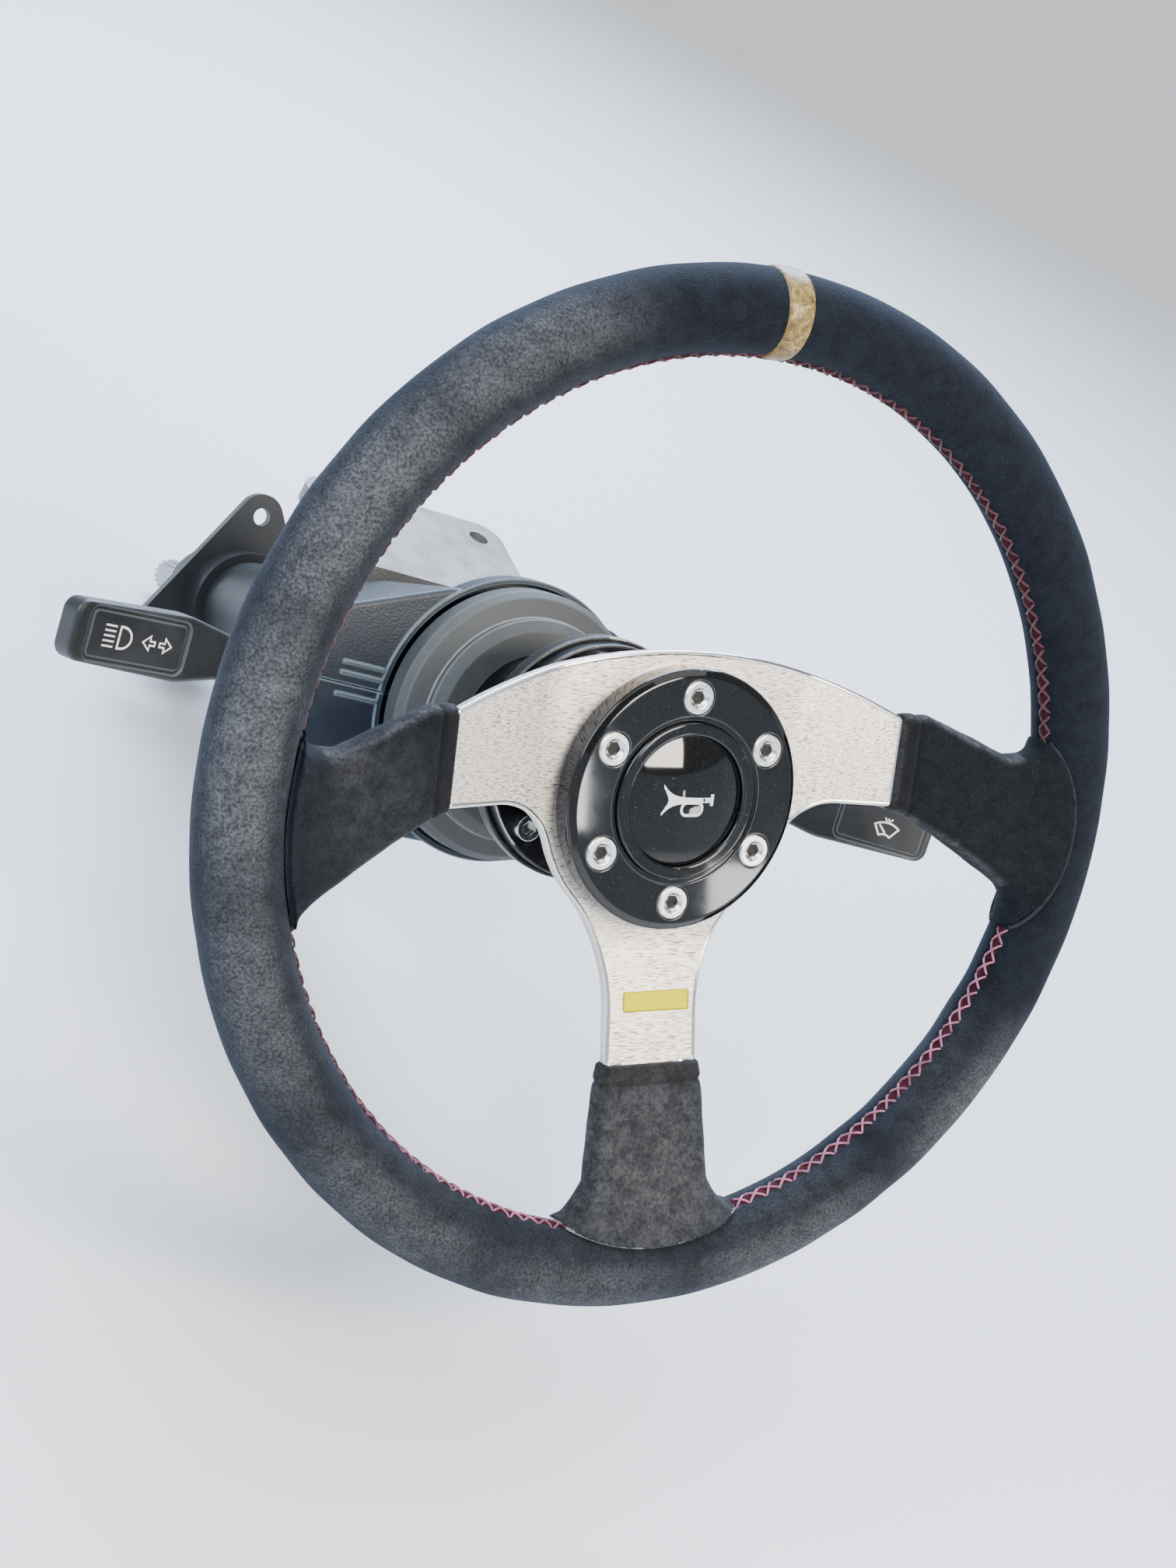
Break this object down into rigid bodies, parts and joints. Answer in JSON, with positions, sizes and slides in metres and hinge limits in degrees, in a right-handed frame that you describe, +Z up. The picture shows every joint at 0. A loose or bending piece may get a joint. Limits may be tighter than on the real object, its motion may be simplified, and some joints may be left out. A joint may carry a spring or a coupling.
{
  "type": "racing steering wheel on its steering column",
  "caption": "Suede steering wheel with a dished brushed metal spoke plate, on a hub extension, shroud and column with switch stalks, dash bracket and lower flange.",
  "frame": {"origin": "centre of the dash bracket's four bolt holes, on the bracket's flat top face", "axes": "+X to the driver's right, +Y forward in the car and away from the driver, +Z up; the column leans back toward the driver by 26 degrees"},
  "size_m": [0.3752, 0.544, 0.3887],
  "materials": {
    "suede": "black suede, worn smooth in places",
    "mark_paint": "ochre centre band, worn",
    "plate_aluminium": "brushed aluminium with bright edges",
    "gloss_black": "glossy black plastic",
    "screw_steel": "bright plated steel",
    "hub_black": "black anodised aluminium with a bright turned edge",
    "shroud_grey": "charcoal moulded plastic",
    "shaft_steel": "turned steel",
    "tube_paint": "black satin paint on steel",
    "bearing_steel": "ground bearing steel",
    "switch_plastic": "grained black plastic",
    "stalk_plastic": "dark grey plastic with white symbols",
    "boot_rubber": "black rubber",
    "cast_aluminium": "cast aluminium",
    "zinc_bolt": "zinc plated steel"
  },
  "bodies": {
    "column": {"column_tube": "tube_paint", "upper_bearing": "bearing_steel", "lower_bearing": "bearing_steel", "switch_body": "cast_aluminium", "switch_housing_upper": "switch_plastic", "switch_housing_lower": "switch_plastic", "housing_screws": "zinc_bolt", "wiper_stalk": "stalk_plastic", "light_stalk": "stalk_plastic", "stalk_boots": "boot_rubber", "column_bracket": "cast_aluminium", "bracket_cap": "cast_aluminium", "bracket_bolts": "zinc_bolt", "lower_flange": "tube_paint"},
    "wheel": {"rim_grip": "suede", "centre_mark": "mark_paint", "spoke_sleeve_right": "suede", "spoke_sleeve_left": "suede", "spoke_sleeve_lower": "suede", "spoke_plate": "plate_aluminium", "button_ring": "gloss_black", "wheel_screws": "screw_steel", "horn_bezel": "gloss_black", "horn_button": "gloss_black", "hub_spacer": "hub_black", "spacer_bolts": "screw_steel", "hub_boss": "hub_black", "hub_shroud": "shroud_grey", "steering_shaft": "shaft_steel", "shaft_nut": "zinc_bolt"}
  },
  "joints": [
    {"name": "steer", "type": "hinge", "parent": "column", "child": "wheel", "pos_m": [0, -0.23638, 0.05329], "axis": [0, -0.8988, 0.4384], "range_deg": [-551, 529]}
  ]
}
